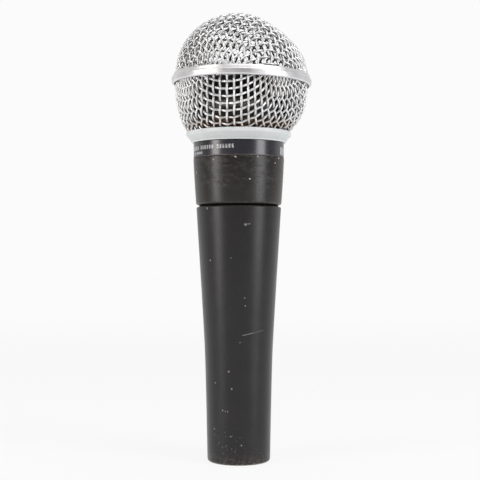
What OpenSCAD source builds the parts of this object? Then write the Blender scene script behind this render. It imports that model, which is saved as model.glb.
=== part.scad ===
// Handheld moving-coil vocal microphone with a screw-on wire ball grille.
// Millimetres, +Z up. The origin is the centre of the connector end's rim, which it stands on.

/* [Overall] */
// Height from the connector rim to the top of the grille
total_h = 162.2; // [161:0.1:164]
// Outer diameter of the crimp band round the grille
band_d = 50.8; // [50.4:0.1:51.6]

/* [Handle] */
// Outer diameter at the connector end
base_d = 22.7; // [22.4:0.1:24]
// Outer diameter at the top of the handle
handle_top_d = 30.8; // [30.4:0.1:31.4]
// Height of the handle
handle_h = 91.7; // [90.5:0.1:92]
// Wall thickness of the handle casting
wall = 2; // [1.7:0.1:2.2]

/* [Head] */
// Diameter of the collar where the nameplate ring starts
collar_d = 33; // [32.6:0.1:33.6]
// Height at which the nameplate ring starts
nameplate_z = 109.3; // [108.8:0.1:109.8]
// Height of the nameplate ring
nameplate_h = 5.4; // [5:0.1:5.4]

/* [Grille] */
// Outer diameter of the grille's screw ring at its upper edge
ring_top_d = 38.2; // [37.8:0.1:38.8]
// Thickness of the woven wire shell, two wires
mesh_t = 1.6; // [1.4:0.1:1.8]
// Height of the middle of the crimp band
band_mid_z = 138; // [137.6:0.1:138.4]

/* [Connector] */
// Bore of the connector socket
socket_d = 19.1; // [18.9:0.05:19.2]
// Depth of the socket down to the insulator
socket_depth = 16.5; // [15.5:0.5:16.5]
// Diameter of a contact pin
pin_d = 2.4; // [2.3:0.05:2.5]
// Length of a contact pin in front of the insulator
pin_len = 12; // [11:0.5:12]
// Distance of the contact pins from the axis
pin_circle_r = 3.81; // [3.7:0.01:4]

/* [Hidden] */
$fn = 96;
fit_gap = 0.08;          // radial clearance of threads and the locking screw
seat_gap = 0.03;         // radial clearance of parts glued or crimped together
eps = 1;                 // how far a cutter runs past the face it cuts

// handle
base_r = base_d / 2;
handle_top_r = handle_top_d / 2;
foot_round = 0.9;
low_taper = 0.0205;      // radius gained per mm below the knee
knee_z = 39.5;           // height of the knee between the two tapers
knee_w = 8;              // how soft the knee is
socket_r = socket_d / 2;
insert_z = socket_depth;
insert_h = 11.5;
ledge_z = insert_z + insert_h;
ledge_h = 1.5;
cavity_z = ledge_z + ledge_h;
neck_z = 83.5;           // where the threaded neck of the handle starts
spigot_r = 13.1;         // thread that joins head and handle
spigot_len = 6.6;
shell_cuts = 20;         // steps along the curved outline

// locking screw of the connector insert, on the back
screw_r = 1.4;
screw_z = 21.8;
screw_in = 6.2;
screw_out = 11.4;

// contact pins
pin_barrel_r = 1.6;
cup_z = ledge_z + 1.5;
cup_r = 1.3;
cup_len = 3;

// transformer and its potting
pot_z = 42;
pot_top = 70;
core_z = 56;
core = [15, 6.5, 18];
window = [3, 11];
window_x = 4;
bobbin_t = 0.5;
lead_r = 0.55;
lead_gap = 0.1;          // between a lead's end and the potting
leg_x = 2 * window_x - window[0];

// collar
groove_r = 14.5;
groove_top = handle_h + 0.8;
collar_low_r = 15.5;
collar_r = collar_d / 2;
plate_t = 0.4;
plate_r = collar_r - 0.1;
plate_top = nameplate_z + nameplate_h;
neck_r = 15.2;           // thread that carries the grille
neck_top = 118.4;
seat_z = 108;            // ledge under the shock mount
seat_r = 14.2;
mount_top = 117.3;

// cartridge
can_r = 9.5;
can_z = 94;
board_t = 1.2;
post_x = 3;              // distance of the two terminal posts from the axis
post_r = 0.6;
post_z = 90.9;
housing_r = 12;
housing_z = 111;
housing_top = 133.5;
flange_r = 13.2;
flange_z = 112.3;
flange_t = 1.4;
motor_r = 10.9;
motor_z = 114.5;
motor_top = 127.5;
cup_wall = 1.8;
magnet_r = 6.6;
gap_r = 8.2;
coil_ri = 7.15;
coil_ro = 7.65;
cap_r = 12.7;
cap_z = 130.4;
cap_top = 138.4;
clamp_top = 131.6;
dome_base_z = 129.3;
coil_z = 124.8;

// grille
mesh_r = band_d / 2 - 1.2;
skirt = 1.4;
ring_z = plate_top + 0.2;
bowl_z = 117.6;
ring_top = 118.9;
bowl_axis = 23.6;        // upright half axis of the bowl's outline
bowl_full = 2.5;         // exponent of that outline; 2 would be an ellipse
dome_full = 2.1;         // the same for the dome
band_h = 3.8;
foam_z = 119.1;
foam_top = 123.4;
foam_gap = 0.35;
flap_z = foam_top + 0.4;
flap_top = 133;
flap_y = -5.7;           // front edge of the flap of foam at the back of the bowl
flap_t = 1.4;

// ---- helpers ----

module ring(ro, ri, z0, z1) {
  translate([0, 0, z0])
    difference() {
      cylinder(h = z1 - z0, r = ro);
      translate([0, 0, -eps]) cylinder(h = z1 - z0 + 2 * eps, r = ri);
    }
}

module disc(r, z0, z1) {
  translate([0, 0, z0]) cylinder(h = z1 - z0, r = r);
}

// Outer radius of the handle at height z: two straight tapers with a soft knee between them
function knee(z) = (z - knee_z + sqrt(pow(z - knee_z, 2) + pow(knee_w, 2))) / 2;
function handle_r(z) =
  let (gain = (handle_top_r - base_r - low_taper * handle_h) / (knee(handle_h) - knee(0)))
  base_r + low_taper * z + gain * (knee(z) - knee(0));

// Heights from a to b in n steps
function steps(a, b, n) = [for (i = [0 : n]) a + (b - a) * i / n];

// Outline of the domed wire shell, from the band up to the axis
function dome_outline(r, top) =
  let (z0 = band_mid_z + skirt)
  concat(
    [[r, band_mid_z], [r, z0]],
    [for (a = [6 : 6 : 90])
      [r * pow(cos(a), 2 / dome_full), z0 + (top - z0) * pow(sin(a), 2 / dome_full)]]
  );

// Radius of the bowl's outer surface at height z
function bowl_r(z) =
  let (z0 = band_mid_z - skirt)
  z >= z0 ? mesh_r : mesh_r * pow(1 - pow((z0 - z) / bowl_axis, bowl_full), 1 / bowl_full);

// Centres and directions of a swept tube: p is a list of points
function unit(v) = v / norm(v);
function tangent(p, i) = unit(p[min(i + 1, len(p) - 1)] - p[max(i - 1, 0)]);
function side_of(t) = unit(cross(t, [0, 1, 0.3]));

// Sideways share of a slack lead, from 0 at both its ends to 1 in the middle, at s from 0 to 1
function slack(s) = (1 - cos(360 * s)) / 2;

// A tube of radius r along the points p, with 8 sides
module tube(p, r) {
  n = 8;
  m = len(p);
  rims = [
    for (i = [0 : m - 1])
      let (t = tangent(p, i), u = side_of(t), v = cross(t, u))
      for (k = [0 : n - 1]) p[i] + r * (cos(360 * k / n) * u + sin(360 * k / n) * v)
  ];
  sides = [
    for (i = [0 : m - 2], k = [0 : n - 1])
      [i * n + k, (i + 1) * n + k, (i + 1) * n + (k + 1) % n, i * n + (k + 1) % n]
  ];
  low_cap = [for (k = [0 : n - 1]) k];
  high_cap = [for (k = [n - 1 : -1 : 0]) (m - 1) * n + k];
  polyhedron(points = rims, faces = concat(sides, [low_cap], [high_cap]));
}

// ---- handle ----

module handle_outside() {
  foot = [
    for (a = [0 : 15 : 90])
      [base_r - foot_round + foot_round * sin(a), foot_round - foot_round * cos(a)]
  ];
  flank = [for (z = steps(foot_round * 2, handle_h - 0.3, shell_cuts)) [handle_r(z), z]];
  rotate_extrude()
    polygon(concat([[0, 0]], foot, flank, [[handle_top_r - 0.3, handle_h], [0, handle_h]]));
}

module handle_cavity() {
  flank = [for (z = steps(cavity_z, neck_z - 1, 12)) [handle_r(z) - wall, z]];
  rotate_extrude()
    polygon(concat([[0, cavity_z]], flank, [[spigot_r + fit_gap, neck_z], [0, neck_z]]));
}

module handle_shell() {
  key_w = 1.6;
  key_h = 1.1;
  latch = [4.2, 1.2, 3.2];
  color("#3b3a3d")
    difference() {
      union() {
        difference() {
          handle_outside();
          translate([0, 0, -eps]) cylinder(h = ledge_z + eps, r = socket_r);
          disc(socket_r - 0.9, ledge_z - eps, cavity_z + eps);
          handle_cavity();
          disc(spigot_r + fit_gap, neck_z - 0.01, handle_h + eps);
          translate([0, 0, -0.01]) cylinder(h = 0.4, r1 = socket_r + 0.35, r2 = socket_r - 0.05);
        }
        // polarising key
        intersection() {
          translate([-key_w / 2, socket_r - key_h, 6]) cube([key_w, key_h + 0.8, insert_z - 6]);
          disc(socket_r + 0.8, 0, insert_z);
        }
      }
      // latch pocket
      translate([-latch[0] / 2, socket_r - 0.6, 2.2]) cube([latch[0], latch[1] + 0.2, latch[2]]);
      // hole for the locking screw
      translate([0, 0, screw_z]) rotate([-90, 0, 0]) cylinder(h = 20, r = screw_r + fit_gap);
    }
}

function pin_at(i) = let (a = [0, 180, 270][i - 1]) pin_circle_r * [cos(a), sin(a)];

module connector_insert() {
  color("#191919")
    difference() {
      union() {
        disc(socket_r, insert_z, ledge_z);
        disc(socket_r - 1.2, ledge_z, ledge_z + 1);
      }
      for (i = [1 : 3])
        translate([pin_at(i)[0], pin_at(i)[1], insert_z - eps])
          cylinder(h = insert_h + 3 * eps, r = pin_barrel_r);
      translate([0, screw_in - 1, screw_z]) rotate([-90, 0, 0]) cylinder(h = 10, r = screw_r + fit_gap);
      // seat of the ground spring
      translate([-1.6, -socket_r - eps, insert_z + 2]) cube([3.2, 1.3 + eps, insert_h + 2]);
    }
}

// A contact: free pin with a blunt tip, barrel in the insulator, solder cup behind
module contact_pin(i) {
  tip = 1;
  z0 = insert_z - pin_len;
  color("#c8c4b8")
    translate([pin_at(i)[0], pin_at(i)[1], 0])
      difference() {
        union() {
          translate([0, 0, z0]) cylinder(h = tip, r1 = pin_d / 2 - 0.7, r2 = pin_d / 2);
          disc(pin_d / 2, z0 + tip, insert_z);
          disc(pin_barrel_r, insert_z, ledge_z + 1);
          disc(cup_r, ledge_z + 1, cup_z + cup_len);
        }
        disc(lead_r + 0.2, cup_z, cup_z + cup_len + eps);
      }
}

module contact_pin_1() { contact_pin(1); }
module contact_pin_2() { contact_pin(2); }
module contact_pin_3() { contact_pin(3); }

module ground_spring() {
  w = 2.8;
  t = 0.3;
  bump_r = 0.42;
  color("#c79a55")
    translate([-w / 2, -socket_r + 0.55, insert_z + 2]) {
      cube([w, t, insert_h - 2.3]);
      translate([w / 2, 0, 5]) rotate([0, 90, 0]) intersection() {
        cylinder(h = w, r = bump_r, center = true);
        translate([0, -1, 0]) cube([4, 2, w + 1], center = true);
      }
    }
}

module locking_screw() {
  slot = [0.5, 0.8];
  color("#6d6f73")
    translate([0, 0, screw_z])
      difference() {
        rotate([-90, 0, 0]) translate([0, 0, screw_in]) cylinder(h = screw_out - screw_in, r = screw_r);
        translate([-slot[0] / 2, screw_out - slot[1], -2]) cube([slot[0], 2, 4]);
      }
}

// Three leads, each straight in its solder cup and slack between there and the potting
module output_leads() {
  n = 9;
  z0 = cup_z + cup_len + 0.2;
  for (i = [1 : 3])
    color(["#b03028", "#d8d4c8", "#2a2a2a"][i - 1])
      let (x = pin_at(i)[0], y = pin_at(i)[1])
        tube(concat([[x, y, cup_z + 0.1]], [
          for (k = [0 : n])
            let (s = k / n, b = slack(s))
            [x * (1 + 0.25 * b), y * (1 + 0.25 * b) + 0.6 * b, z0 + (pot_z - lead_gap - z0) * s]
        ]), lead_r);
}

// ---- transformer ----

module transformer_core() {
  color("#77797c")
    translate([0, 0, core_z])
      difference() {
        cube(core, center = true);
        for (s = [-1, 1])
          translate([s * window_x, 0, 0]) cube([window[0], core[1] + 2, window[1]], center = true);
      }
}

module transformer_bobbin() {
  tube_x = leg_x + 2 * bobbin_t;
  tube_y = core[1] + 2 * bobbin_t;
  flange = [2 * window_x + window[0] - 0.2, core[1] + 5.6, 0.6];
  color("#d9cfae")
    translate([0, 0, core_z])
      difference() {
        union() {
          cube([tube_x, tube_y, window[1] - 0.1], center = true);
          for (s = [-1, 1])
            translate([0, 0, s * (window[1] / 2 - 0.05 - flange[2] / 2)]) cube(flange, center = true);
        }
        cube([leg_x, core[1], window[1] + 2], center = true);
      }
}

module transformer_winding() {
  h = window[1] - 1.4;
  color("#a8552d")
    translate([0, 0, core_z])
      difference() {
        cube([2 * window_x + window[0] - 0.5, core[1] + 5, h], center = true);
        cube([leg_x + 2 * bobbin_t, core[1] + 2 * bobbin_t, h + 2], center = true);
      }
}

module transformer_potting() {
  flank = [for (z = steps(pot_z, pot_top, 6)) [handle_r(z) - wall - 0.15, z]];
  color("#8a6a3c")
    difference() {
      rotate_extrude() polygon(concat([[0, pot_z]], flank, [[0, pot_top]]));
      translate([0, 0, core_z]) cube(core, center = true);
      translate([0, 0, core_z])
        cube([2 * window_x + window[0], core[1] + 5.8, window[1]], center = true);
    }
}

// Two leads that coil in the space under the cartridge and stretch as the head is unscrewed
module cartridge_leads() {
  n = 18;
  z0 = pot_top + lead_gap;
  top = post_z - 0.5;
  for (s = [-1, 1])
    color(s < 0 ? "#d9b62c" : "#2f8a4a")
      tube([
        for (k = [0 : n])
          let (t = k / n, b = slack(t))
          [s * (post_x + 2.4 * b), 4 * s * b * sin(360 * t), z0 + (top - z0) * t]
      ], lead_r);
}

// ---- collar ----

module collar() {
  spigot_z = handle_h - spigot_len;
  outline = [
    [11.4, spigot_z], [spigot_r - 0.5, spigot_z], [spigot_r, spigot_z + 0.5], [spigot_r, handle_h],
    [groove_r, handle_h], [groove_r, groove_top], [collar_low_r - 0.6, groove_top],
    [collar_low_r - 0.15, groove_top + 0.15], [collar_low_r, groove_top + 0.6],
    [collar_r, nameplate_z - 0.4], [collar_r - 0.15, nameplate_z], [plate_r - plate_t, nameplate_z],
    [plate_r - plate_t, plate_top], [neck_r, plate_top], [neck_r, neck_top - 0.4],
    [neck_r - 0.4, neck_top], [seat_r, neck_top], [seat_r, seat_z],
    [12.8, seat_z], [12.8, 96], [11.4, 95]
  ];
  color("#3a3733") rotate_extrude() polygon(outline);
}

module nameplate_ring() {
  color("#4a484c") ring(plate_r, plate_r - plate_t, nameplate_z, plate_top);
}

// Rubber ring with an inner groove that holds the cartridge's flange
module shock_mount() {
  color("#26241f")
    difference() {
      ring(seat_r, housing_r + 0.3, seat_z, mount_top);
      disc(flange_r + 0.4, flange_z - 0.7, flange_z + flange_t + 0.7);
    }
}

module mount_retainer() {
  color("#2b2b2b") ring(seat_r, housing_r + 0.6, mount_top, neck_top - 0.2);
}

// ---- cartridge ----

module cartridge_housing() {
  port_r = 1.2;
  port_z = 129;
  vent_r = 3;
  color("#1d1d1d")
    difference() {
      union() {
        disc(housing_r, housing_z, housing_top);
        disc(flange_r, flange_z, flange_z + flange_t);
      }
      disc(motor_r + seat_gap, motor_z, housing_top + eps);
      disc(vent_r, housing_z - eps, motor_z + eps);
      for (a = [0 : 60 : 300])
        rotate([0, 0, a])
          translate([housing_r - 2, 0, port_z]) rotate([0, 90, 0]) cylinder(h = 4, r = port_r);
    }
}

module port_cloth() {
  cloth_t = 0.55;
  color("#4b453d") ring(housing_r + cloth_t, housing_r, 120, cap_z);
}

module yoke_cup() {
  color("#8d9095")
    difference() {
      disc(motor_r, motor_z, motor_top - 2.5);
      disc(motor_r - cup_wall, motor_z + 2.5, motor_top);
      disc(2, motor_z - eps, motor_z + 3);
    }
}

module magnet() {
  color("#55565a") ring(magnet_r, 2, motor_z + 2.5, motor_top - 3);
}

module pole_piece() {
  color("#9a9da2") ring(magnet_r, 2, motor_top - 3, motor_top);
}

module front_plate() {
  color("#9a9da2") ring(motor_r, gap_r, motor_top - 2.5, motor_top);
}

// Ring that holds the edge of the diaphragm: wide inside, with a narrower lip at the top
module diaphragm_clamp() {
  inside_r = 10.55;
  lip_r = 9.6;
  lip_t = 0.9;
  color("#b98b3e")
    difference() {
      disc(motor_r, motor_top, clamp_top);
      disc(inside_r, motor_top - eps, clamp_top - lip_t);
      disc(lip_r, motor_top, clamp_top + eps);
    }
}

module resonator_plate() {
  z0 = 132.3;
  t = 1;
  hole_r = 1.3;
  hole_at = 6.5;
  color("#2c2c2c")
    difference() {
      disc(motor_r, z0, z0 + t);
      for (a = [0 : 60 : 300])
        rotate([0, 0, a]) translate([hole_at, 0, z0 - eps]) cylinder(h = t + 2 * eps, r = hole_r);
      disc(hole_r, z0 - eps, z0 + t + eps);
    }
}

module cap_screen() {
  z0 = 136.3;
  t = 0.8;
  color("#5a5650") disc(cap_r - 1.6, z0, z0 + t);
}

// Domed plastic cap with a ring of slots over the diaphragm
module resonator_cap() {
  top_t = 1.3;
  slot = [1.4, 4.4];
  color("#141414")
    difference() {
      union() {
        disc(cap_r, cap_z, cap_top - 0.8);
        translate([0, 0, cap_top - 0.8]) cylinder(h = 0.8, r1 = cap_r, r2 = cap_r - 0.8);
      }
      disc(housing_r + seat_gap, cap_z - eps, housing_top);
      disc(cap_r - 1.5, housing_top - 0.01, cap_top - top_t);
      for (a = [0 : 30 : 330])
        rotate([0, 0, a]) translate([5, -slot[0] / 2, cap_top - 3]) cube([slot[1], slot[0], 4]);
    }
}

module rear_can() {
  can_wall = 0.8;
  color("#2d2f33")
    difference() {
      disc(can_r, can_z, housing_z);
      disc(can_r - can_wall, can_z + can_wall, housing_z + eps);
    }
}

module terminal_board() {
  color("#7d5a2e")
    difference() {
      disc(5.5, can_z - board_t, can_z);
      for (s = [-1, 1]) translate([s * post_x, 0, can_z - 2]) cylinder(h = 3, r = post_r);
    }
}

module terminal_posts() {
  color("#c8a04a")
    for (s = [-1, 1])
      translate([s * post_x, 0, 0]) {
        disc(post_r, post_z, can_z);
        disc(1, can_z - board_t - 0.6, can_z - board_t);
      }
}

// ---- diaphragm ----

module diaphragm() {
  t = 0.25;
  r = coil_ro;
  dome_h = 2;
  up = [for (a = [0 : 10 : 80]) [r * sin(a), dome_base_z + dome_h * cos(a)]];
  roll_r = 1.3;
  roll_h = 0.6;
  roll = [
    for (a = [0 : 30 : 180]) [r + roll_r - roll_r * cos(a), dome_base_z + roll_h * sin(a)]
  ];
  top = concat(up, roll);
  color("#d7d2c2")
    rotate_extrude()
      polygon(concat(top, [for (i = [len(top) - 1 : -1 : 0]) [top[i][0], top[i][1] - t]]));
}

module voice_coil() {
  color("#b5622f") ring(coil_ro, coil_ri, coil_z, dome_base_z - 0.25);
}

// ---- grille ----

module bowl_solid(z0, t) {
  z1 = band_mid_z - skirt;
  side = [for (z = steps(z0, z1, 16)) [bowl_r(z) - t, z]];
  rotate_extrude()
    polygon(concat([[0, z0]], side, [[mesh_r - t, band_mid_z], [0, band_mid_z]]));
}

// Outer edge of the foam lining between two heights
function foam_edge(z0, z1, n) = [for (z = steps(z0, z1, n)) [bowl_r(z) - mesh_t - foam_gap, z]];

// What is left of the foam lining at the bottom of the bowl, lying loose all round
module foam_residue() {
  color("#6b4a33")
    rotate_extrude()
      polygon(concat([[15.4, foam_z]], foam_edge(foam_z, foam_top, 4), [[17.2, foam_top]]));
}

// The lining that still sticks to the wire, at the back of the bowl
module foam_flap() {
  outside = foam_edge(flap_z, flap_top, 6);
  inside = [for (i = [len(outside) - 1 : -1 : 0]) outside[i] - [flap_t, 0]];
  reach = band_d;
  color("#3a322c")
    difference() {
      rotate_extrude() polygon(concat(outside, inside));
      translate([-reach, flap_y - reach, flap_z - eps]) cube([2 * reach, reach, reach]);
    }
}

module grille_ring() {
  outline = [
    [neck_r + fit_gap, ring_z], [16.8, ring_z], [17.05, ring_z + 0.3],
    [ring_top_d / 2, ring_top - 1], [ring_top_d / 2, ring_top - 0.3],
    [ring_top_d / 2 - 0.15, ring_top], [15.9, ring_top], [15.9, bowl_z], [neck_r + fit_gap, bowl_z]
  ];
  color("#cfd3d2")
    difference() {
      rotate_extrude() polygon(outline);
      bowl_solid(bowl_z, -seat_gap);
    }
}

module grille_bowl() {
  color("#b9bcbd")
    difference() {
      bowl_solid(bowl_z, 0);
      difference() {
        bowl_solid(bowl_z, mesh_t);
        disc(mesh_r, 0, bowl_z);
      }
      disc(mesh_r - mesh_t, band_mid_z - 0.01, band_mid_z + eps);
    }
}

module grille_band() {
  r = band_d / 2;
  z0 = band_mid_z - band_h / 2;
  outline = [
    [mesh_r, z0 - 0.1], [r - 0.3, z0 - 0.1], [r, z0 + 0.3], [r, z0 + 1.9], [r - 0.25, z0 + 2.2],
    [r - 0.4, z0 + 2.3], [r - 0.9, z0 + band_h - 0.25], [mesh_r, z0 + band_h - 0.1]
  ];
  color("#dcdcda") rotate_extrude() polygon(outline);
}

module grille_dome() {
  outside = dome_outline(mesh_r, total_h);
  inside = dome_outline(mesh_r - mesh_t, total_h - mesh_t);
  color("#c3c6c7")
    rotate_extrude()
      polygon(concat(outside, [for (i = [len(inside) - 1 : -1 : 0]) inside[i]]));
}

// ---- drawing ----

handle_shell();
connector_insert();
contact_pin_1();
contact_pin_2();
contact_pin_3();
ground_spring();
locking_screw();
output_leads();
transformer_core();
transformer_bobbin();
transformer_winding();
transformer_potting();
cartridge_leads();
collar();
nameplate_ring();
shock_mount();
mount_retainer();
cartridge_housing();
port_cloth();
yoke_cup();
magnet();
pole_piece();
front_plate();
diaphragm_clamp();
resonator_plate();
cap_screen();
resonator_cap();
rear_can();
terminal_board();
terminal_posts();
diaphragm();
voice_coil();
foam_residue();
foam_flap();
grille_ring();
grille_bowl();
grille_band();
grille_dome();
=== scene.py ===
import bpy
import math
import numpy as np
from mathutils import Matrix, Vector, noise


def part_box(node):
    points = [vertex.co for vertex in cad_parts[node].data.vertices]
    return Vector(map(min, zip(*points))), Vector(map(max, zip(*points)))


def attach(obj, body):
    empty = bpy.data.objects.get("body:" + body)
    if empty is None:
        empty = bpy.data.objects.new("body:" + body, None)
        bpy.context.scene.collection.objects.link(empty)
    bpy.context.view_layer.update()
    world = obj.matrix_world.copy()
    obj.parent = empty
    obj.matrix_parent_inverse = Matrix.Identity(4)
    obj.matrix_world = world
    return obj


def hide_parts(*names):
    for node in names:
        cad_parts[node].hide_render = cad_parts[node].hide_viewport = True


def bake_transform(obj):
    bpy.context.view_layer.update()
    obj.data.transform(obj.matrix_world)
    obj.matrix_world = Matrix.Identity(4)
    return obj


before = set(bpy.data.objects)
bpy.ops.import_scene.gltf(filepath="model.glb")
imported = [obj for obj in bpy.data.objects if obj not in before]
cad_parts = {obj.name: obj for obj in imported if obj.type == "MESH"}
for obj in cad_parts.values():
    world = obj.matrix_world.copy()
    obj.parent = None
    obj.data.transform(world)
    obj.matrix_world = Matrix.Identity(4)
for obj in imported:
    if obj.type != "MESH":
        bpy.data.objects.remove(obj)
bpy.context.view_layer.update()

# Lengths are written in millimetres and scaled when a mesh is made. Azimuth is measured
# from the front (-Y), growing towards the right (+X), in degrees.
MM = 0.001


def mm_box(node):
    lo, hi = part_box(node)
    return lo / MM, hi / MM


def around(r, a, z):
    """The point at radius r and height z, in the azimuth a, here in radians."""
    return Vector((r * math.sin(a), -r * math.cos(a), z))


HANDLE_HI = mm_box("handle_shell")[1]
COLLAR_LO, COLLAR_HI = mm_box("collar")
PLATE_LO, PLATE_HI = mm_box("nameplate_ring")
RING_LO, RING_HI = mm_box("grille_ring")
BOWL_LO = mm_box("grille_bowl")[0]
BAND_LO, BAND_HI = mm_box("grille_band")
DOME_LO, DOME_HI = mm_box("grille_dome")
FOAM_LO, FOAM_HI = mm_box("foam_residue")
FLAP_LO, FLAP_HI = mm_box("foam_flap")
CLOTH_LO, CLOTH_HI = mm_box("port_cloth")
LEADS_LO, LEADS_HI = mm_box("cartridge_leads")

HANDLE_H = HANDLE_HI.z
HANDLE_TOP_R = HANDLE_HI.x
HANDLE_BASE_R = 11.35
KNEE_Z, KNEE_WIDTH = 39.5, 8    # where the handle's two tapers meet
LOW_TAPER = 0.0205              # growth of the radius per mm of height, below the knee
COLLAR_LOW = 92.5               # lower edge of the collar, above the groove
BALL_R = DOME_HI.x              # outer radius of the wire ball
BALL_TOP = DOME_HI.z
BAND_MID = DOME_LO.z            # where dome and bowl meet inside the band
SKIRT = 1.4                     # from there to where each half starts to curve inwards
BOWL_HALF_AXIS = 23.6           # of the bowl's outline below its skirt
BOWL_FULLNESS = 2.5             # exponent of that outline; 2 would be an ellipse
DOME_FULLNESS = 2.1             # the same for the dome
WIRE_D, WIRE_PITCH = 0.80, 2.5
DOME_LAY, BOWL_LAY = 26, -12.3  # azimuth in which the wires of each cloth run
CREST = 0.30                    # radius of a thread crest, as a share of the pitch


# ---------------------------------------------------------------- camera, floor, light

def make_camera():
    cam = bpy.data.objects.new("camera", bpy.data.cameras.new("camera"))
    bpy.context.scene.collection.objects.link(cam)
    cam.data.lens = 79.4
    cam.data.sensor_width = 36
    cam.data.clip_start = 0.01
    cam.location = (0.00045, -0.385, 0.0751)
    cam.rotation_euler = (math.radians(90.7), 0, 0)
    bpy.context.scene.camera = cam


def area_light(name, azimuth, distance, height, size, power, tint=(1, 1, 1), aim_z=0.09):
    data = bpy.data.lights.new(name, "AREA")
    data.color = tint
    data.shape = "RECTANGLE"
    data.size, data.size_y = size
    data.energy = power
    lamp = bpy.data.objects.new(name, data)
    lamp.location = around(distance, math.radians(azimuth), height)
    aim = Vector((0, 0, aim_z)) - lamp.location
    lamp.rotation_euler = aim.to_track_quat("-Z", "Y").to_euler()
    bpy.context.scene.collection.objects.link(lamp)


def make_world():
    """A pale studio: bright all round behind the object, dimmer on the camera's side."""
    world = bpy.data.worlds.new("studio")
    bpy.context.scene.world = world
    world.use_nodes = True
    nt = world.node_tree
    nt.nodes.clear()
    out = nt.nodes.new("ShaderNodeOutputWorld")
    coord = nt.nodes.new("ShaderNodeTexCoord")
    split = nt.nodes.new("ShaderNodeSeparateXYZ")
    ramp = nt.nodes.new("ShaderNodeMapRange")
    ramp.interpolation_type = "SMOOTHSTEP"
    ramp.inputs["From Min"].default_value = -0.10
    ramp.inputs["From Max"].default_value = 0.60
    ramp.inputs["To Min"].default_value = 0.05
    ramp.inputs["To Max"].default_value = 0.95
    room = nt.nodes.new("ShaderNodeBackground")
    sweep = nt.nodes.new("ShaderNodeBackground")
    sweep.inputs["Color"].default_value = (0.965, 0.965, 0.965, 1)
    path = nt.nodes.new("ShaderNodeLightPath")
    mix = nt.nodes.new("ShaderNodeMixShader")
    nt.links.new(coord.outputs["Generated"], split.inputs[0])
    nt.links.new(split.outputs["Y"], ramp.inputs["Value"])
    nt.links.new(ramp.outputs["Result"], room.inputs["Strength"])
    nt.links.new(path.outputs["Is Camera Ray"], mix.inputs["Fac"])
    nt.links.new(room.outputs[0], mix.inputs[1])
    nt.links.new(sweep.outputs[0], mix.inputs[2])
    nt.links.new(mix.outputs[0], out.inputs["Surface"])


def make_floor():
    """A round white floor that fades into the backdrop."""
    n, radius = 96, 3.0
    verts = [(0, 0, 0)]
    verts += [(radius * math.cos(2 * math.pi * k / n), radius * math.sin(2 * math.pi * k / n), 0)
              for k in range(n)]
    faces = [(0, 1 + k, 1 + (k + 1) % n) for k in range(n)]
    mesh = bpy.data.meshes.new("floor")
    mesh.from_pydata(verts, [], faces)
    floor = bpy.data.objects.new("floor", mesh)
    bpy.context.scene.collection.objects.link(floor)
    mat = bpy.data.materials.new("floor_paint")
    mat.use_nodes = True
    nt = mat.node_tree
    shader = nt.nodes["Principled BSDF"]
    shader.inputs["Roughness"].default_value = 0.9
    shader.inputs["Specular IOR Level"].default_value = 0.0
    shader.inputs["Emission Color"].default_value = (1, 1, 1, 1)
    # lit paint near the object, an even glow further off, so that no horizon shows
    coord = nt.nodes.new("ShaderNodeTexCoord")
    away = nt.nodes.new("ShaderNodeVectorMath")
    away.operation = "LENGTH"
    nt.links.new(coord.outputs["Object"], away.inputs[0])
    for socket, near, far in (("Base Color", 0.10, 0.0), ("Emission Strength", 0.865, 0.962)):
        fade = nt.nodes.new("ShaderNodeMapRange")
        fade.interpolation_type = "SMOOTHSTEP"
        fade.inputs["From Min"].default_value = 0.1
        fade.inputs["From Max"].default_value = 0.9
        fade.inputs["To Min"].default_value = near
        fade.inputs["To Max"].default_value = far
        nt.links.new(away.outputs["Value"], fade.inputs["Value"])
        nt.links.new(fade.outputs["Result"], shader.inputs[socket])
    mesh.materials.append(mat)


make_camera()
make_world()
make_floor()
area_light("left_softbox", -60, 0.62, 0.30, (0.22, 0.75), 2.7, (1.0, 0.965, 0.94))
area_light("right_softbox", 57, 0.62, 0.30, (0.26, 0.75), 2.8, (0.97, 0.97, 1.0))
area_light("top_softbox", 20, 0.25, 0.75, (0.6, 0.6), 2.4)
bpy.context.scene.view_settings.view_transform = "Standard"


# ---------------------------------------------------------------- shader helpers

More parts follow.
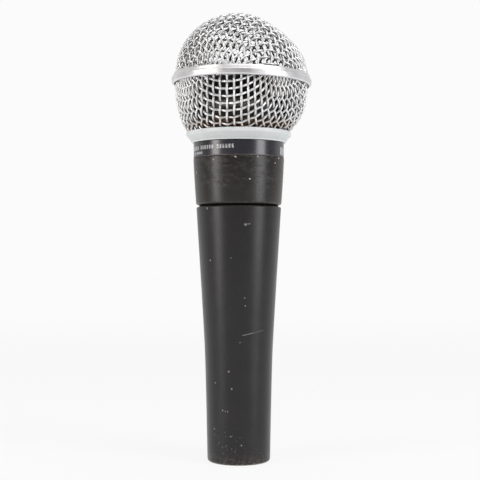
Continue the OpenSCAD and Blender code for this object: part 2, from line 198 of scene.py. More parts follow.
class Shader:
    """A material whose nodes are added by short calls. Every method returns an output socket."""

    def __init__(self, name, colour, rough, metal=0.0, specular=0.5):
        self.material = bpy.data.materials.new(name)
        self.material.use_nodes = True
        self.nt = self.material.node_tree
        self.bsdf = self.nt.nodes["Principled BSDF"]
        self.bsdf.inputs["Base Color"].default_value = (*colour, 1)
        self.bsdf.inputs["Roughness"].default_value = rough
        self.bsdf.inputs["Metallic"].default_value = metal
        self.bsdf.inputs["Specular IOR Level"].default_value = specular
        self.coord = self.nt.nodes.new("ShaderNodeTexCoord").outputs["Object"]
        self.xyz = None

    def put(self, socket, value):
        if isinstance(value, bpy.types.NodeSocket):
            self.nt.links.new(value, socket)
        elif isinstance(value, tuple) and len(value) == 3 and socket.type == "RGBA":
            socket.default_value = (*value, 1)
        else:
            socket.default_value = value

    def axis(self, name):
        if self.xyz is None:
            self.xyz = self.nt.nodes.new("ShaderNodeSeparateXYZ")
            self.nt.links.new(self.coord, self.xyz.inputs[0])
        return self.xyz.outputs[name]

    def math(self, op, a, b=0.0):
        n = self.nt.nodes.new("ShaderNodeMath")
        n.operation = op
        self.put(n.inputs[0], a)
        self.put(n.inputs[1], b)
        return n.outputs[0]

    def times(self, a, b):
        return self.math("MULTIPLY", a, b)

    def most(self, a, b):
        return self.math("MAXIMUM", a, b)

    def scaled(self, sx, sy, sz):
        n = self.nt.nodes.new("ShaderNodeVectorMath")
        n.operation = "MULTIPLY"
        self.nt.links.new(self.coord, n.inputs[0])
        n.inputs[1].default_value = (sx, sy, sz)
        return n.outputs[0]

    def noise(self, size_mm, detail=3.0, rough=0.5, vector=None, distortion=0.0):
        n = self.nt.nodes.new("ShaderNodeTexNoise")
        self.nt.links.new(vector or self.coord, n.inputs["Vector"])
        n.inputs["Scale"].default_value = 1 / (size_mm * MM)
        n.inputs["Detail"].default_value = detail
        n.inputs["Roughness"].default_value = rough
        n.inputs["Distortion"].default_value = distortion
        return n.outputs["Fac"]

    def cells(self, size_mm):
        n = self.nt.nodes.new("ShaderNodeTexVoronoi")
        self.nt.links.new(self.coord, n.inputs["Vector"])
        n.inputs["Scale"].default_value = 1 / (size_mm * MM)
        return n.outputs["Distance"]

    def step(self, value, low, high, to=(0.0, 1.0)):
        n = self.nt.nodes.new("ShaderNodeMapRange")
        n.interpolation_type = "SMOOTHSTEP"
        self.put(n.inputs["Value"], value)
        n.inputs["From Min"].default_value = low
        n.inputs["From Max"].default_value = high
        n.inputs["To Min"].default_value = to[0]
        n.inputs["To Max"].default_value = to[1]
        return n.outputs["Result"]

    def blend(self, fac, a, b):
        n = self.nt.nodes.new("ShaderNodeMix")
        n.data_type = "RGBA"
        self.put(n.inputs["Factor"], fac)
        self.put(n.inputs["A"], a)
        self.put(n.inputs["B"], b)
        return n.outputs["Result"]

    def over(self, colour, mask, strength, paint):
        """The colour, with paint laid over it where the mask is 1."""
        return self.blend(self.times(mask, strength), colour, paint)

    def bump(self, height, distance_mm, strength=1.0):
        n = self.nt.nodes.new("ShaderNodeBump")
        n.inputs["Distance"].default_value = distance_mm * MM
        n.inputs["Strength"].default_value = strength
        self.nt.links.new(height, n.inputs["Height"])
        old = self.bsdf.inputs["Normal"]
        if old.is_linked:
            self.nt.links.new(old.links[0].from_socket, n.inputs["Normal"])
        self.nt.links.new(n.outputs["Normal"], old)

    def mix(self, fac, a, b):
        """A plain number that goes from a to b as fac goes from 0 to 1."""
        return self.step(fac, 0.0, 1.0, (a, b))

    def set(self, **sockets):
        for name, value in sockets.items():
            self.put(self.bsdf.inputs[name.replace("_", " ").title()], value)

    def distance(self, x, y, z):
        """Distance from a point given in mm."""
        n = self.nt.nodes.new("ShaderNodeVectorMath")
        n.operation = "DISTANCE"
        self.nt.links.new(self.coord, n.inputs[0])
        n.inputs[1].default_value = (x * MM, y * MM, z * MM)
        return n.outputs["Value"]

    def near(self, points, warp):
        """1 inside small warped blots round the points, each (x, y, z, radius) in mm."""
        total = None
        for x, y, z, r in points:
            far = self.math("SUBTRACT", self.distance(x, y, z), self.times(warp, 1.6 * r * MM))
            blot = self.step(far, 0.35 * r * MM, 0.0)
            total = blot if total is None else self.most(total, blot)
        return total

    def attribute(self, name):
        n = self.nt.nodes.new("ShaderNodeAttribute")
        n.attribute_name = name
        return n.outputs["Fac"]

    def between(self, value, low, high, soft):
        """1 where value lies between low and high, with soft edges."""
        return self.times(self.step(value, low - soft, low + soft),
                          self.step(value, high + soft, high - soft))


# ---------------------------------------------------------------- mesh helpers

def new_object(name, verts, faces, material, inner=None):
    mesh = bpy.data.meshes.new(name)
    mesh.from_pydata([(x * MM, y * MM, z * MM) for x, y, z in verts], [], faces)
    mesh.polygons.foreach_set("use_smooth", [True] * len(mesh.polygons))
    if inner:
        mesh.attributes.new("inner", "FLOAT", "POINT").data.foreach_set("value", inner)
    mesh.materials.append(material)
    mesh.update()
    obj = bpy.data.objects.new(name, mesh)
    bpy.context.scene.collection.objects.link(obj)
    return obj


def skin(rings, n, closed=False, base=0):
    """Faces over rings of n vertices. Closed: the last ring joins the first; if not, both ends
    get a cap."""
    faces = []
    for k in range(rings if closed else rings - 1):
        a, b = base + k * n, base + (k + 1) % rings * n
        faces += [(a + i, a + (i + 1) % n, b + (i + 1) % n, b + i) for i in range(n)]
    if not closed:
        faces.append(tuple(base + i for i in range(n - 1, -1, -1)))
        faces.append(tuple(base + (rings - 1) * n + i for i in range(n)))
    return faces


def lathe(outline, turns, warp=None):
    """Vertices and faces of a closed outline of (r, z) points turned about the axis in so many
    steps. warp may move each point."""
    verts = []
    for k in range(turns):
        a = 2 * math.pi * k / turns
        for r, z in outline:
            p = around(r, a, z)
            verts.append(tuple(warp(p) if warp else p))
    faces = [(a, d, c, b) for a, b, c, d in skin(turns, len(outline), closed=True)]
    return verts, faces


def arc(cx, cz, r, a0, a1, n):
    """Points on an arc in the (r, z) plane, angles in degrees from +r towards +z."""
    return [(cx + r * math.cos(math.radians(a0 + (a1 - a0) * i / n)),
             cz + r * math.sin(math.radians(a0 + (a1 - a0) * i / n))) for i in range(n + 1)]


class Tubes:
    """Many round wires collected into one mesh."""

    def __init__(self, radius, sides):
        self.radius, self.sides = radius, sides
        self.verts, self.faces, self.inner = [], [], []

    def add(self, points, ups):
        n, m, base = self.sides, len(points), len(self.verts)
        for i, p in enumerate(points):
            t = (points[min(i + 1, m - 1)] - points[max(i - 1, 0)]).normalized()
            v = t.cross(ups[i]).normalized()
            u = v.cross(t)
            for k in range(n):
                a = 2 * math.pi * k / n
                self.verts.append(tuple(p + self.radius * (math.cos(a) * u + math.sin(a) * v)))
                self.inner.append(max(0.0, -math.cos(a)))
        self.faces += skin(m, n, base=base)


def catmull(points, parts):
    """A smooth curve through the points, each gap cut into parts."""
    out = []
    for i in range(len(points) - 1):
        p0, p1 = points[max(i - 1, 0)], points[i]
        p2, p3 = points[i + 1], points[min(i + 2, len(points) - 1)]
        for k in range(parts):
            t = k / parts
            out.append(0.5 * (2 * p1 + (p2 - p0) * t + (2 * p0 - 5 * p1 + 4 * p2 - p3) * t * t
                              + (3 * p1 - p0 - 3 * p2 + p3) * t ** 3))
    out.append(points[-1])
    return out


# ---------------------------------------------------------------- the bent ball

LEAN_FROM, LEAN_TO = RING_HI.z, RING_HI.z + 9   # heights between which the lean sets in
LEAN, LEAN_SHIFT = math.radians(1.1), 0.65
DENT_AZIMUTH, DENT_RISE = 78, 50                # where the ball was hit, in degrees
DENT_WIDTH, DENT_DEPTH = 12.0, 2.3
DENT_FADE = 3                                   # height over which the dent fades above the band


def smooth(t):
    t = min(max(t, 0.0), 1.0)
    return t * t * (3 - 2 * t)


def knocked(p):
    """Where a point of the true ball lies after the falls that bent it: a lean and one dent."""
    rise = math.radians(DENT_RISE)
    centre = Vector((0, 0, BAND_MID))
    hit = centre + BALL_R * around(math.cos(rise), math.radians(DENT_AZIMUTH), math.sin(rise))
    inward = (centre - hit).normalized()
    if p.z > BAND_HI.z:
        free = smooth((p.z - BAND_HI.z) / DENT_FADE)
        p = p + inward * DENT_DEPTH * free * math.exp(-((p - hit).length / DENT_WIDTH) ** 2)
    share = smooth((p.z - LEAN_FROM) / (LEAN_TO - LEAN_FROM))
    pivot = Vector((0, 0, LEAN_FROM))
    turned = Matrix.Rotation(LEAN, 3, "Y") @ (p - pivot) + pivot
    return p.lerp(turned, share) + Vector((LEAN_SHIFT * share, 0, 0))


# ---------------------------------------------------------------- woven wire

class Bulge:
    """A surface of revolution: (r / a)^n + (z / c)^n = 1, an ellipsoid when n is 2."""

    def __init__(self, a, c, n):
        self.a, self.c, self.n = a, c, n

    def value(self, p):
        return (math.hypot(p[0], p[1]) / self.a) ** self.n + (abs(p[2]) / self.c) ** self.n

    def slope(self, p):
        r = max(math.hypot(p[0], p[1]), 1e-6)
        k = self.n * r ** (self.n - 2) / self.a ** self.n
        return np.array([k * p[0], k * p[1], math.copysign(self.n * abs(p[2]) ** (self.n - 1)
                                                          / self.c ** self.n, p[2])])

    def outline(self, t):
        """The point at parameter t, from 0 on the axis to a quarter turn at the rim."""
        k = 2 / self.n
        return self.a * math.sin(t) ** k, self.c * max(math.cos(t), 0.0) ** k

    def onto(self, p):
        return p / self.value(p) ** (1 / self.n)

    def normal(self, p):
        return Vector(self.slope(p)).normalized()


def quarter_net(bulge, pitch, count):
    """Crossings of a square net pressed over the bulge, for one quarter of it. Every side of a
    mesh keeps its length, so the net shears towards the diagonals."""
    line, angle = [0.0], 0.0
    for _ in range(count):
        low, high = angle, angle + 0.8
        px, pz = bulge.outline(angle)
        for _ in range(40):
            mid = (low + high) / 2
            qx, qz = bulge.outline(mid)
            low, high = (mid, high) if math.hypot(qx - px, qz - pz) < pitch else (low, mid)
        if low > math.pi / 2:
            break
        angle = low
        line.append(angle)
    net, folded = {}, 0.3       # a mesh whose diagonal squared is less has folded up
    for i, t in enumerate(line):
        r, z = bulge.outline(t)
        net[i, 0] = np.array([r, 0.0, z])
        net[0, i] = np.array([0.0, r, z])
    for i in range(1, count + 1):
        for j in range(1, count + 1):
            back = [net.get(k) for k in ((i - 1, j), (i, j - 1), (i - 1, j - 1))]
            if any(b is None for b in back):
                continue
            one, two, corner = back
            p = one + two - corner
            for _ in range(12):
                f = np.array([(p - one) @ (p - one) - pitch ** 2, (p - two) @ (p - two) - pitch ** 2,
                              bulge.value(p) - 1])
                p = p - np.linalg.solve(np.array([2 * (p - one), 2 * (p - two), bulge.slope(p)]), f)
                if not np.isfinite(p).all() or np.abs(p).max() > 3 * bulge.c:
                    break
            settled = np.isfinite(p).all() and abs(bulge.value(p) - 1) < 1e-6
            if settled and (p - corner) @ (p - corner) > folded:
                net[i, j] = p
    return net


def weave(name, bulge, centre_z, up, azimuth, keep, material):
    """Plain-woven wire pressed over a bulge. up is 1 for a dome and -1 for a bowl; keep says
    which points of the cloth stay when it is trimmed."""
    count, sides = 18, 8
    quarter = quarter_net(bulge, WIRE_PITCH, count)
    turn = Matrix.Rotation(math.radians(azimuth - 90), 3, "Z")

    def crossing(i, j):
        q = quarter.get((abs(i), abs(j)))
        if q is None:
            return None
        return Vector((math.copysign(q[0], i), math.copysign(q[1], j), q[2]))

    def placed(v, offset):
        v = turn @ v
        return Vector((v.x, v.y, up * v.z + offset))

    tubes = Tubes(WIRE_D / 2, sides)
    swing = WIRE_D / 2          # over one wire and under the next
    span = range(-count, count + 1)
    for family in (0, 1):
        for j in span:
            knots = []
            for i in span:
                p = crossing(i, j) if family == 0 else crossing(j, i)
                knots.append((p, (1 if (i + j + family) % 2 else -1)))
            runs, run = [], []
            for p, s in knots + [(None, 0)]:
                if p is None:
                    if len(run) > 1:
                        runs.append(run)
                    run = []
                else:
                    run.append((p, s))
            for run in runs:
                path = []
                for (p, s), (q, _) in zip(run, run[1:]):
                    path.append(p + bulge.normal(p) * s * swing)
                    path.append(bulge.onto((p + q) / 2))
                path.append(run[-1][0] + bulge.normal(run[-1][0]) * run[-1][1] * swing)
                curve = catmull(path, 3)
                piece = []
                for v in curve + [None]:
                    at = placed(v, centre_z) if v is not None else None
                    if at is not None and keep(at):
                        piece.append((knocked(at), placed(bulge.normal(v), 0)))
                    else:
                        if len(piece) > 4:
                            tubes.add([x for x, _ in piece], [n for _, n in piece])
                        piece = []
    return new_object(name, tubes.verts, tubes.faces, material, tubes.inner)


# ---------------------------------------------------------------- materials

def knee(z):
    """Rises from level to a slope of 1 with a soft bend at the handle's knee."""
    return (z - KNEE_Z + math.hypot(z - KNEE_Z, KNEE_WIDTH)) / 2


def on_handle(azimuth, z, r=0.0):
    """A point on the handle's surface and the radius of a blot there, in mm."""
    gain = (HANDLE_TOP_R - HANDLE_BASE_R - LOW_TAPER * HANDLE_H) / (knee(HANDLE_H) - knee(0))
    radius = HANDLE_BASE_R + LOW_TAPER * z + gain * (knee(z) - knee(0))
    return (*around(radius, math.radians(azimuth), z), r)


def handle_enamel():
    s = Shader("handle_enamel", (0.006, 0.0055, 0.0065), 0.36, specular=0.47)
    grain = s.noise(0.35, 4)
    cloud = s.noise(9, 3, 0.6)
    fine = s.noise(0.12, 2)
    colour = s.blend(s.step(cloud, 0.3, 0.75), (0.0058, 0.0044, 0.0054), (0.0098, 0.0078, 0.0090))
    x, y, z = s.axis("X"), s.axis("Y"), s.axis("Z")

    # chips: azimuth, height and radius
    chips = [(9, 85, 0.42), (12.5, 85.2, 0.25), (15, 85.3, 0.22), (-47, 90.9, 0.4), (-11, 73.3, 0.2),
             (-45, 72.5, 0.3), (9, 59.3, 0.22), (10, 56.5, 0.25), (-17, 33.3, 0.36), (-12, 27.2, 0.34),
             (-44, 29, 0.3), (-29, 19.4, 0.3), (-24, 19.2, 0.2), (-19.5, 19.2, 0.26), (-48, 12.6, 0.3),
             (-14, 10.4, 0.26), (5, 7.3, 0.3), (2, 43.6, 0.2), (120, 60, 0.4), (160, 22, 0.35),
             (205, 47, 0.35), (235, 14, 0.45), (95, 12, 0.4), (150, 78, 0.3), (-120, 66, 0.35)]
    mask = s.near([on_handle(*chip) for chip in chips], grain)

    # one long scratch across the front, rising to the right and fainter in its second half
    height, slope = 45.75 * MM, 0.225
    line = s.math("ADD", s.times(x, slope), height)
    off = s.math("ABSOLUTE", s.math("SUBTRACT", z, line))
    reach = s.between(x, 1.3 * MM, 8.8 * MM, 0.3 * MM)
    scratch = s.times(s.step(off, 0.17 * MM, 0.05 * MM), reach)
    scratch = s.times(scratch, s.mix(s.step(x, 4.8 * MM, 5.6 * MM), 1.0, 0.4))
    scratch = s.times(scratch, s.step(y, 0.0, -4 * MM))
    scraped = s.most(mask, scratch)

    # scuffs: fine specks, thick near the foot and where it has been knocked
    foot = s.step(z, 11 * MM, 0.5 * MM)
    struck = s.step(s.distance(*on_handle(-28, 7)[:3]), 13 * MM, 2 * MM)
    where = s.most(s.most(foot, struck), 0.30)
    speck = s.math("LESS_THAN", s.cells(1.0), s.times(where, 0.22))
    speck = s.times(speck, s.step(s.noise(1.7, 3, 0.6), 0.40, 0.55))
    rim = s.times(s.step(z, 1.0 * MM, 0.3 * MM), s.step(s.noise(0.8, 4, 0.75), 0.46, 0.60))
    wear = s.times(s.step(z, 6 * MM, 0.5 * MM), s.step(s.noise(1.4, 4, 0.7), 0.44, 0.60))
    hair = s.step(s.noise(3.5, 2, 0.6, s.scaled(9.0, 9.0, 0.6), 0.4), 0.665, 0.70)

    # painted highlight: the colour is lightened along the handle's top edge, where the rounded edge
    # catches the light
    lip = s.step(z, (HANDLE_H - 0.40) * MM, (HANDLE_H - 0.20) * MM)
    colour = s.over(colour, lip, 0.5, (0.045, 0.041, 0.038))
    colour = s.over(colour, hair, 0.08, (0.10, 0.10, 0.10))
    colour = s.over(colour, wear, 0.8, (0.045, 0.036, 0.028))
    colour = s.over(colour, speck, 0.6, (0.16, 0.15, 0.14))
    colour = s.over(colour, rim, 0.6, (0.26, 0.20, 0.15))
    colour = s.over(colour, scraped, 0.7, (0.30, 0.29, 0.28))
    bare = s.most(scraped, s.most(rim, speck))
    s.set(base_color=colour, roughness=s.step(cloud, 0.2, 0.8, (0.28, 0.35)))
    s.bump(fine, 0.02, 0.35)
    s.bump(grain, 0.05, 0.3)
    s.bump(s.math("SUBTRACT", 1.0, bare), 0.06, 0.8)
    return s.material


def collar_paint():
    s = Shader("collar_paint", (0.012, 0.010, 0.009), 0.4)
    cloud = s.noise(5, 4, 0.65)
    grain = s.noise(0.4, 3)
    streak = s.noise(3.2, 4, 0.65, s.scaled(1.0, 1.0, 2.2))
    z = s.axis("Z")
    low, high = COLLAR_LOW, PLATE_LO.z
    colour = s.blend(s.step(cloud, 0.3, 0.7), (0.0068, 0.0056, 0.0048), (0.0150, 0.0122, 0.0100))

    # handled grime, thick on the upper two thirds
    grime = s.times(s.step(z, (low + 3) * MM, (low + 8) * MM), s.step(streak, 0.48, 0.66))
    colour = s.over(colour, grime, 0.8, (0.027, 0.0225, 0.0185))
    dab = s.times(s.step(s.noise(1.1, 4, 0.7), 0.60, 0.68), s.step(streak, 0.42, 0.60))
    colour = s.over(colour, dab, 0.35, (0.065, 0.055, 0.046))

    def at(azimuth, height, r):
        """A point on the barrel, which widens by 1 mm over its height, and the radius of a blot."""
        radius = 15.5 + (height - low) / (high - low)
        return (*around(radius, math.radians(azimuth), height), r)

    # chips: azimuth, height and radius
    chips = [(-4, 108.7, 0.3), (24, 108.9, 0.28), (14, 101, 0.3), (-33, 107.9, 0.25), (52, 107, 0.3),
             (60, 108.8, 0.35), (110, 100, 0.4), (170, 108.6, 0.4), (230, 97, 0.35), (290, 104, 0.35)]
    mask = s.near([at(*chip) for chip in chips], grain)
    edge = s.step(z, (high - 1.0) * MM, (high - 0.1) * MM)
    edge = s.times(edge, s.step(s.noise(1.2, 4, 0.75), 0.50, 0.62))
    # painted highlight: a lighter broken line on the rounded bead at the collar's lower edge
    bead = s.between(z, (low + 0.35) * MM, (low + 0.75) * MM, 0.15 * MM)
    bead = s.times(bead, s.step(s.noise(2.5, 4, 0.75), 0.45, 0.65))
    colour = s.over(colour, edge, 0.5, (0.13, 0.105, 0.085))
    colour = s.over(colour, bead, 0.35, (0.12, 0.11, 0.10))
    colour = s.over(colour, mask, 0.85, (0.46, 0.43, 0.39))
    s.set(base_color=colour, roughness=s.mix(s.most(grime, edge), 0.30, 0.42))
    s.bump(grain, 0.05, 0.4)
    s.bump(s.most(grime, dab), 0.05, 0.5)
    s.bump(s.math("SUBTRACT", 1.0, mask), 0.08, 0.8)
    return s.material


def nameplate_gloss():
    """Glossy printed strip. Its printing is made of plain blocks, in rows, that spell nothing."""
    s = Shader("nameplate_gloss", (0.020, 0.020, 0.025), 0.2, specular=0.9)
    cloud = s.noise(6, 3)
    colour = s.blend(s.step(cloud, 0.3, 0.7), (0.020, 0.020, 0.026), (0.030, 0.028, 0.036))
    z = s.axis("Z")
    low = PLATE_LO.z
    azimuth = s.math("ARCTAN2", s.axis("X"), s.times(s.axis("Y"), -1.0))
    azimuth = s.times(azimuth, 180 / math.pi)
    rough_edge = s.times(s.math("SUBTRACT", s.noise(0.5, 3), 0.5), 0.25 * MM)
    height = s.math("ADD", z, rough_edge)

    # rows of blocks: first and last azimuth, foot and head in mm above the strip's foot, and the
    # width of one block with its gap, in degrees
    rows = ((-88, -4, 2.5, 3.9, 3.9), (-75, -52, 0.9, 1.8, 2.6), (64, 100, 0.9, 3.6, 8.0),
            (124, 200, 2.5, 3.9, 3.9))
    printed = None
    for first, last, foot, head, wide in rows:
        row = s.times(s.between(azimuth, first, last, 0.3),
                      s.between(height, (low + foot) * MM, (low + head) * MM, 0.06 * MM))
        turned = s.math("ADD", azimuth, 360.0)
        block = s.math("FRACT", s.math("DIVIDE", turned, wide))
        group = s.math("FRACT", s.math("DIVIDE", turned, wide * 7.0))
        row = s.times(row, s.between(block, 0.10, 0.72, 0.05))
        row = s.times(row, s.step(group, 0.12, 0.15))   # the first of every seven is left blank
        printed = row if printed is None else s.most(printed, row)
    worn = s.step(s.noise(0.7, 4, 0.7), 0.36, 0.46)
    colour = s.over(colour, s.times(printed, worn), 0.9, (0.50, 0.50, 0.50))

    grime = s.step(s.math("ADD", z, s.times(s.noise(1.5, 4, 0.7), 1.2 * MM)),
                   (low + 1.15) * MM, (low + 0.75) * MM)
    colour = s.over(colour, grime, 0.8, (0.040, 0.032, 0.026))
    s.set(base_color=colour, roughness=s.mix(grime, 0.24, 0.5))
    s.bump(s.noise(0.5, 2), 0.01, 0.3)
    return s.material


def ring_paint():
    s = Shader("ring_paint", (0.66, 0.68, 0.68), 0.42)
    cloud = s.noise(7, 4, 0.6)
    grain = s.noise(0.3, 3)
    colour = s.blend(s.step(cloud, 0.3, 0.7), (0.64, 0.665, 0.665), (0.70, 0.72, 0.72))
    dirt = s.step(s.noise(0.9, 4, 0.75), 0.66, 0.74)
    colour = s.over(colour, dirt, 0.35, (0.25, 0.22, 0.18))
    s.set(base_color=colour, roughness=s.step(cloud, 0.2, 0.8, (0.34, 0.48)))
    s.bump(grain, 0.03, 0.3)
    return s.material


def band_metal():
    s = Shader("band_metal", (0.72, 0.71, 0.70), 0.4, 0.85)
    turned = s.noise(2.2, 4, 0.6, s.scaled(0.6, 0.6, 9.0))
    cloud = s.noise(6, 3)
    nick = s.step(s.noise(0.7, 4, 0.7), 0.66, 0.72)
    colour = s.blend(s.step(cloud, 0.3, 0.7), (0.71, 0.70, 0.705), (0.80, 0.79, 0.80))
    colour = s.over(colour, nick, 0.5, (0.35, 0.33, 0.32))
    # dark and not metallic on its inner side; the band's centre has moved with the lean of the ball
    centre = knocked(Vector((0, 0, BAND_MID)))
    x, y = s.math("SUBTRACT", s.axis("X"), centre.x * MM), s.axis("Y")
    radius = s.math("SQRT", s.math("ADD", s.times(x, x), s.times(y, y)))
    inside = s.step(radius, (BALL_R + 0.50) * MM, (BALL_R + 0.25) * MM)
    colour = s.blend(inside, colour, (0.030, 0.025, 0.021))
    s.set(base_color=colour, metallic=s.mix(inside, 0.85, 0.0),
          roughness=s.step(cloud, 0.2, 0.8, (0.36, 0.46)))
    s.bump(turned, 0.03, 0.5)
    return s.material


def wire_metal():
    s = Shader("wire_metal", (0.66, 0.66, 0.66), 0.3, 1.0)
    cloud = s.noise(5, 4, 0.65)
    grain = s.noise(0.25, 3)
    colour = s.blend(s.step(cloud, 0.3, 0.7), (0.64, 0.64, 0.64), (0.84, 0.84, 0.84))
    # brown stain low in the bowl, where the foam rotted
    low = s.step(s.axis("Z"), (RING_HI.z + 4.5) * MM, (RING_HI.z + 0.5) * MM)
    spot = s.step(s.distance(10.5, -21.0, BAND_LO.z - 3.5), 8 * MM, 2 * MM, (0.0, 0.5))
    stain = s.times(s.most(low, spot), s.step(s.noise(2.6, 4, 0.7), 0.42, 0.60))
    colour = s.over(colour, stain, 0.55, (0.30, 0.17, 0.09))
    tarnish = s.step(s.noise(0.8, 4, 0.7), 0.62, 0.74)
    colour = s.over(colour, tarnish, 0.3, (0.30, 0.28, 0.26))
    # old foam film and painted shade on the side of each wire that faces into the ball: darker and
    # less metallic there
    film = s.times(s.step(s.attribute("inner"), 0.15, 0.65), s.step(grain, 0.25, 0.45))
    colour = s.over(colour, film, 0.92, (0.060, 0.052, 0.045))
    s.set(base_color=colour, roughness=s.mix(film, 0.41, 0.65), metallic=s.mix(film, 0.9, 0.3))
    s.bump(grain, 0.02, 0.4)
    return s.material


def rotten_foam():
    s = Shader("rotten_foam", (0.16, 0.08, 0.04), 0.95, specular=0.1)
    lumps = s.noise(0.9, 5, 0.7)
    patch = s.noise(4, 3, 0.6)
    colour = s.blend(s.step(lumps, 0.3, 0.7), (0.030, 0.014, 0.009), (0.20, 0.105, 0.058))
    colour = s.blend(s.step(patch, 0.5, 0.7), colour, (0.17, 0.14, 0.10))
    # higher up it is less rotten and still nearly black
    sound = s.blend(s.step(lumps, 0.35, 0.7), (0.010, 0.009, 0.008), (0.040, 0.035, 0.031))
    colour = s.blend(s.step(s.axis("Z"), (FOAM_HI.z - 2) * MM, (FOAM_HI.z + 1) * MM), colour, sound)
    s.set(base_color=colour)
    s.bump(lumps, 0.5, 1.0)
    return s.material


def felt():
    s = Shader("felt", (0.05, 0.045, 0.038), 0.95, specular=0.1)
    fibre = s.noise(0.35, 5, 0.75, distortion=1.5)
    patch = s.noise(3, 4, 0.65)
    colour = s.blend(s.step(fibre, 0.3, 0.7), (0.020, 0.018, 0.016), (0.10, 0.09, 0.08))
    rot = s.step(s.axis("Z"), (CLOTH_LO.z + 5) * MM, CLOTH_LO.z * MM)
    rot = s.times(rot, s.step(patch, 0.4, 0.65))
    colour = s.over(colour, rot, 0.7, (0.20, 0.11, 0.05))
    # a pale frayed band under the cap
    band = s.between(s.axis("Z"), (CLOTH_HI.z - 3.6) * MM, (CLOTH_HI.z - 1.2) * MM, 0.5 * MM)
    band = s.times(band, s.step(s.noise(0.8, 4, 0.7), 0.35, 0.55))
    colour = s.over(colour, band, 0.85, (0.27, 0.255, 0.24))
    fleck = s.math("LESS_THAN", s.cells(0.9), 0.2)
    fleck = s.times(fleck, s.step(s.noise(2.4, 3, 0.6), 0.50, 0.62))
    colour = s.over(colour, fleck, 0.8, (0.42, 0.39, 0.34))
    s.set(base_color=colour)
    s.bump(fibre, 0.25, 0.9)
    return s.material


def plastic(name, colour, rough, size_mm=0.5, specular=0.5):
    s = Shader(name, colour, rough, specular=specular)
    grain = s.noise(size_mm, 3)
    cloud = s.noise(size_mm * 12, 3)
    light = tuple(min(1.0, c * 1.5 + 0.004) for c in colour)
    s.set(base_color=s.blend(s.step(cloud, 0.35, 0.75), colour, light),
          roughness=s.step(cloud, 0.2, 0.8, (rough - 0.05, rough + 0.08)))
    s.bump(grain, 0.03, 0.4)
    return s.material


def metal(name, colour, rough, size_mm=0.4, shine=1.0, stretch=(1, 1, 1)):
    s = Shader(name, colour, rough, shine)
    brushed = s.noise(size_mm, 4, 0.6, s.scaled(*stretch))
    cloud = s.noise(size_mm * 9, 3)
    dull = tuple(c * 0.72 for c in colour)
    s.set(base_color=s.blend(s.step(cloud, 0.35, 0.7), colour, dull),
          roughness=s.step(cloud, 0.2, 0.8, (rough - 0.05, rough + 0.1)))
    s.bump(brushed, 0.02, 0.5)
    return s.material


def wound(name, colour, pitch_mm, gap, axis="Z"):
    """Fine parallel ridges, for wire windings and stacked laminations."""
    s = Shader(name, colour, 0.35, 0.6)
    ridge = s.math("SINE", s.times(s.axis(axis), 2 * math.pi / (pitch_mm * MM)))
    ridge = s.step(ridge, -1.0, 0.6)
    s.set(base_color=s.blend(ridge, gap, colour),
          roughness=s.step(s.noise(1, 3), 0.2, 0.8, (0.3, 0.5)))
    s.bump(ridge, pitch_mm * 0.4, 0.8)
    return s.material


def insulation():
    """Sleeve of the thin leads: one colour to the left of the axis and another to the right."""
    s = Shader("insulation", (0.55, 0.40, 0.03), 0.45)
    side = s.step(s.axis("X"), -0.1 * MM, 0.1 * MM)
    dirt = s.step(s.noise(1.2, 3), 0.5, 0.75)
    colour = s.blend(side, (0.62, 0.45, 0.04), (0.05, 0.24, 0.08))
    s.set(base_color=s.over(colour, dirt, 0.3, (0.08, 0.06, 0.04)))
    s.bump(s.noise(0.3, 3), 0.02, 0.4)
    return s.material


CAD_LOOKS = {
    "handle_shell": handle_enamel(),
    "collar": collar_paint(),
    "nameplate_ring": nameplate_gloss(),
    "connector_insert": plastic("insulator", (0.012, 0.012, 0.012), 0.38),
    "contact_pin": metal("pin_plating", (0.72, 0.69, 0.62), 0.22, 0.3, stretch=(6, 6, 1)),
    "ground_spring": metal("spring_bronze", (0.62, 0.40, 0.18), 0.3, stretch=(1, 1, 6)),
    "locking_screw": metal("screw_steel", (0.10, 0.10, 0.105), 0.4),
    "output_leads": insulation(),
    "transformer_core": wound("laminations", (0.32, 0.33, 0.34), 0.5, (0.05, 0.05, 0.05), "Y"),
    "transformer_bobbin": plastic("bobbin_nylon", (0.62, 0.55, 0.38), 0.45),
    "transformer_winding": wound("enamelled_wire", (0.55, 0.21, 0.07), 0.16, (0.10, 0.03, 0.01)),
    "transformer_potting": plastic("potting_wax", (0.22, 0.13, 0.05), 0.35, 2.0),
    "shock_mount": plastic("mount_rubber", (0.018, 0.017, 0.015), 0.75),
    "mount_retainer": plastic("retainer_plastic", (0.02, 0.02, 0.02), 0.4),
    "cartridge_housing": plastic("housing_plastic", (0.012, 0.012, 0.012), 0.42),
    "yoke_cup": metal("yoke_steel", (0.42, 0.42, 0.43), 0.35, stretch=(1, 1, 5)),
    "magnet": metal("magnet_alloy", (0.12, 0.12, 0.13), 0.55, 0.6),
    "pole_piece": metal("pole_steel", (0.48, 0.48, 0.49), 0.3),
    "front_plate": metal("front_steel", (0.48, 0.48, 0.49), 0.3),
    "diaphragm_clamp": metal("clamp_brass", (0.62, 0.43, 0.14), 0.3),
    "resonator_plate": plastic("resonator_plastic", (0.02, 0.02, 0.02), 0.4),
    "cap_screen": felt(),
    "resonator_cap": plastic("cap_plastic", (0.004, 0.004, 0.0045), 0.45, specular=0.2),
    "rear_can": plastic("can_plastic", (0.022, 0.023, 0.026), 0.4),
    "terminal_board": plastic("phenolic", (0.20, 0.10, 0.03), 0.45),
    "terminal_posts": metal("terminal_brass", (0.62, 0.45, 0.16), 0.3),
    "diaphragm": plastic("film", (0.55, 0.50, 0.38), 0.2),
    "voice_coil": wound("coil_wire", (0.55, 0.21, 0.07), 0.14, (0.10, 0.03, 0.01)),
}


def dress_cad():
    for name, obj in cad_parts.items():
        look = CAD_LOOKS.get(name) or CAD_LOOKS.get(name.rsplit("_", 1)[0])
        if look is None:
            continue
        for k in range(max(1, len(obj.material_slots))):
            if k < len(obj.material_slots):
                obj.material_slots[k].material = look
            else:
                obj.data.materials.append(look)


dress_cad()


